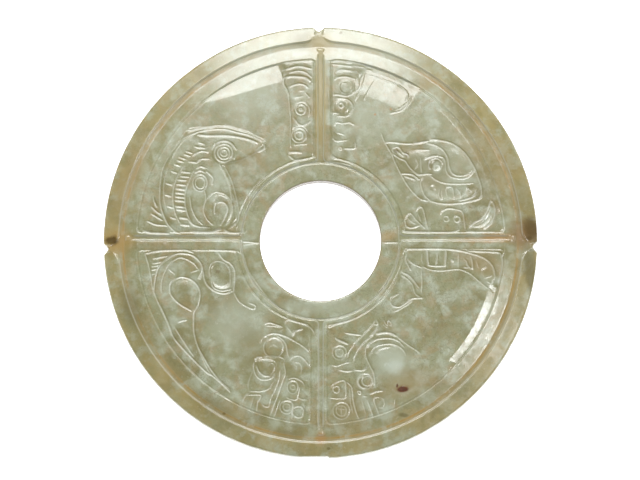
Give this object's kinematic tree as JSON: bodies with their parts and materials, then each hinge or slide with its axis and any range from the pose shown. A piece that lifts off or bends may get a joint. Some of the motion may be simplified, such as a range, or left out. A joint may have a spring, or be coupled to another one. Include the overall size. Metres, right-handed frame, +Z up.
{
  "type": "jade bi disc",
  "caption": "Flat pale green jade ring with a round hole, one face carved in framed fields with masks, eyes and creatures, the back plain, with small notches in its edge.",
  "frame": {"origin": "middle of the plain back, on the axis of the hole", "axes": "+Z up out of the carved face, +Y to the notch above the carving, +X to the right as the carving is seen"},
  "size_m": [0.13, 0.13, 0.0064],
  "materials": {
    "jade": null
  },
  "bodies": {
    "root": {"jade_disc": "jade"}
  },
  "joints": []
}
